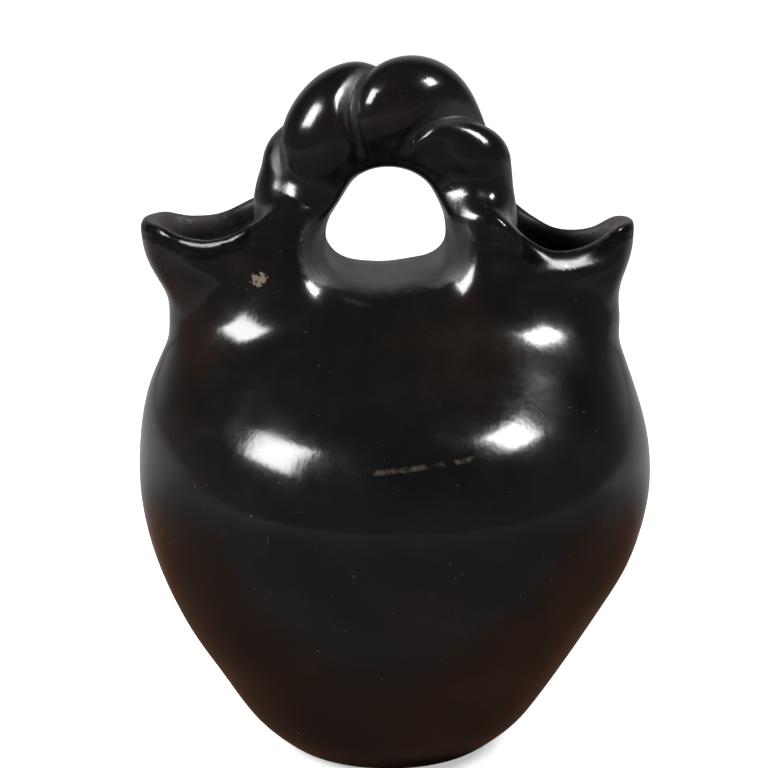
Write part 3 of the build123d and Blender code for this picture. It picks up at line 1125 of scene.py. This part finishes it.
class JAR_OT_belly(JarOperator):
    """Build the base and the rings of the belly"""

    bl_idname = "jar.belly"
    bl_label = "Belly"

    def execute(self, context):
        self.prepare(context)
        rest = self.net("belly net", *BELLY_NET, self.sizes.belly_step)
        top = joint_cutter(self.clay, NECK_JOINT)
        below = cut_piece("belly rest", rest, top, "DIFFERENCE")
        drop(rest, top)
        for step in reversed(range(COIL_COUNT)):
            share = step / COIL_COUNT
            cutter = joint_cutter(self.clay, BASE_TOP + (NECK_JOINT - BASE_TOP) * share)
            node = f"wall_coil_{step + 1}"
            ring = cut_piece(f"clay_{node}", below, cutter, "INTERSECT")
            rest = cut_piece("belly rest", below, cutter, "DIFFERENCE")
            self.dress(ring, node)
            drop(below, cutter)
            below = rest
        below.name = "clay_base"
        self.dress(below, "base")
        return {"FINISHED"}


class JAR_OT_neck(JarOperator):
    """Build the saddle, the spouts, their lips and the roots of the handle"""

    bl_idname = "jar.neck"
    bl_label = "Neck"

    def execute(self, context):
        self.prepare(context)
        whole = self.net("neck net", *NECK_NET, self.sizes.neck_step)
        joint = joint_cutter(self.clay, NECK_JOINT)
        neck = cut_piece("neck", whole, joint, "INTERSECT")
        drop(whole, joint)
        far = CUTTER_REACH
        for side, word in ((LEFT, "left"), (RIGHT, "right")):
            end, outer = SADDLE_ENDS[side], ROOT_ENDS[side]
            span = sorted((end, side * far))
            beside = block("side cutter", (span[0], -far, 0), (span[1], far, ROPE_JOINT))
            half = cut_piece("half", neck, beside, "INTERSECT")
            rest = cut_piece("neck", neck, beside, "DIFFERENCE")
            drop(neck, beside)
            neck = rest
            span = sorted((end - side * 5, outer))
            stump = block("root cutter", (span[0], -far, ROOT_LOW), (span[1], far, far * 2))
            root = cut_piece(f"clay_{word}_handle_root", half, stump, "INTERSECT")
            tube = cut_piece("tube", half, stump, "DIFFERENCE")
            lip_edge = lip_cutter(self.clay, side)
            lip = cut_piece(f"clay_{word}_lip", tube, lip_edge, "INTERSECT")
            spout = cut_piece(f"clay_{word}_spout", tube, lip_edge, "DIFFERENCE")
            drop(half, stump, tube, lip_edge)
            self.dress(root, f"{word}_handle_root")
            self.dress(lip, f"{word}_lip")
            self.dress(spout, f"{word}_spout")
        low, high = SADDLE_ENDS[LEFT] - 1, SADDLE_ENDS[RIGHT] + 1
        middle = block("saddle cutter", (low, -far, 0), (high, far, ROOT_LOW))
        saddle = cut_piece("clay_saddle", neck, middle, "INTERSECT")
        drop(neck, middle)
        self.dress(saddle, "saddle", "satin_clay")
        return {"FINISHED"}


class JAR_OT_handle(JarOperator):
    """Build the two strands of the rope handle"""

    bl_idname = "jar.handle"
    bl_label = "Handle"

    def execute(self, context):
        self.prepare(context)
        whole = self.net("handle net", *HANDLE_NET, self.sizes.handle_step)
        far = CUTTER_REACH
        upper = block("foot cutter", (-far, -far, ROPE_JOINT), (far, far, far * 2))
        rope = cut_piece("rope", whole, upper, "INTERSECT")
        cutter = strand_cutter(self.clay)
        first = cut_piece("clay_handle_strand_1", rope, cutter, "INTERSECT")
        second = cut_piece("clay_handle_strand_2", rope, cutter, "DIFFERENCE")
        drop(whole, upper, rope, cutter)
        self.dress(first, "handle_strand_1")
        self.dress(second, "handle_strand_2")
        return {"FINISHED"}


def softbox(name, azimuth, height, distance, width, tall, power):
    """A rectangular area light that faces the jar. Azimuth is from the front to the right."""
    light = bpy.data.lights.new(name, "AREA")
    light.shape = "RECTANGLE"
    light.size, light.size_y = width, tall
    light.energy = power
    lamp = bpy.data.objects.new(name, light)
    bpy.context.scene.collection.objects.link(lamp)
    turn = math.radians(azimuth)
    lamp.location = (distance * math.sin(turn), -distance * math.cos(turn), height)
    aim = np.array(SOFTBOX_AIM) - np.array(lamp.location)
    lamp.rotation_mode = "QUATERNION"
    lamp.rotation_quaternion = Vector(aim).to_track_quat("-Z", "Y")


class JAR_OT_stage(bpy.types.Operator):
    """Set up the floor, the lights, the backdrop and the camera"""

    bl_idname = "jar.stage"
    bl_label = "Stage"

    def execute(self, context):
        studio = context.scene.jar_studio
        bpy.ops.mesh.primitive_plane_add(size=FLOOR_SIZE, location=(0, 0, 0))
        floor = context.object
        floor.name = "floor"
        floor.data.materials.append(floor_material(studio))
        for name, sizes in SOFTBOXES.items():
            softbox(name, *sizes, studio.softbox * SOFTBOX_WATTS)
        self.add_world(context, studio)
        self.add_camera(context)
        context.scene.view_settings.view_transform = "Standard"
        return {"FINISHED"}

    def add_world(self, context, studio):
        """White to the camera, and a room with a bright backdrop to the gloss."""
        world = bpy.data.worlds.new("studio room")
        context.scene.world = world
        nodes = Nodes(world)
        place = nodes.add("ShaderNodeTexCoord", {}, {}, "Generated")
        behind = nodes.part(place, "Y").step(0.45, 1.0)
        low = 1 - nodes.part(place, "Z").step(0.0, 0.6)
        front = studio.front + studio.haze * low
        gloss = front + behind * (studio.backdrop - front)
        camera = nodes.add("ShaderNodeLightPath", {}, {}, "Is Camera Ray")
        glossy = nodes.add("ShaderNodeLightPath", {}, {}, "Is Glossy Ray")
        room = studio.fill + glossy * (gloss - studio.fill)
        strength = room + camera * (1 - room)
        light = nodes.add("ShaderNodeBackground", {}, {"Strength": strength}, "Background")
        nodes.add("ShaderNodeOutputWorld", {}, {"Surface": light})

    def add_camera(self, context):
        """A camera at the photograph's angle."""
        camera = bpy.data.cameras.new("camera")
        camera.sensor_width = 36.0
        camera.lens = LENS
        seat = bpy.data.objects.new("camera", camera)
        context.scene.collection.objects.link(seat)
        tilt = math.radians(TILT)
        back, up = CAMERA_REACH * math.cos(tilt), CAMERA_REACH * math.sin(tilt)
        seat.location = (CAMERA_ACROSS, -back, AIM_HEIGHT + up)
        seat.rotation_euler = (math.radians(90) - tilt, 0, 0)
        context.scene.camera = seat


class JAR_PT_panel(bpy.types.Panel):
    """Lists the steps that make the jar"""

    bl_label = "Jar"
    bl_idname = "JAR_PT_panel"
    bl_space_type = "VIEW_3D"
    bl_region_type = "UI"
    bl_category = "Jar"

    def draw(self, context):
        for operator in STEPS:
            self.layout.operator(operator.bl_idname)
        for group in (context.scene.jar_sizes, context.scene.jar_colours, context.scene.jar_studio):
            box = self.layout.box()
            for name in group.bl_rna.properties.keys():
                if name not in ("rna_type", "name"):
                    box.prop(group, name)


GROUPS = {"jar_sizes": ClaySizes, "jar_colours": ClayColours, "jar_studio": StudioSettings}
STEPS = (JAR_OT_belly, JAR_OT_neck, JAR_OT_handle, JAR_OT_stage)


def register():
    """Make the settings, the operators and the panel known."""
    for name, group in GROUPS.items():
        bpy.utils.register_class(group)
        setattr(bpy.types.Scene, name, bpy.props.PointerProperty(type=group))
    for item in (*STEPS, JAR_PT_panel):
        bpy.utils.register_class(item)


def unregister():
    """Take them away again."""
    for item in (JAR_PT_panel, *reversed(STEPS)):
        bpy.utils.unregister_class(item)
    for name, group in GROUPS.items():
        delattr(bpy.types.Scene, name)
        bpy.utils.unregister_class(group)


def main():
    """Build the jar and the stage."""
    register()
    bpy.ops.jar.belly()
    bpy.ops.jar.neck()
    bpy.ops.jar.handle()
    bpy.ops.jar.stage()


if __name__ == "__main__":
    main()
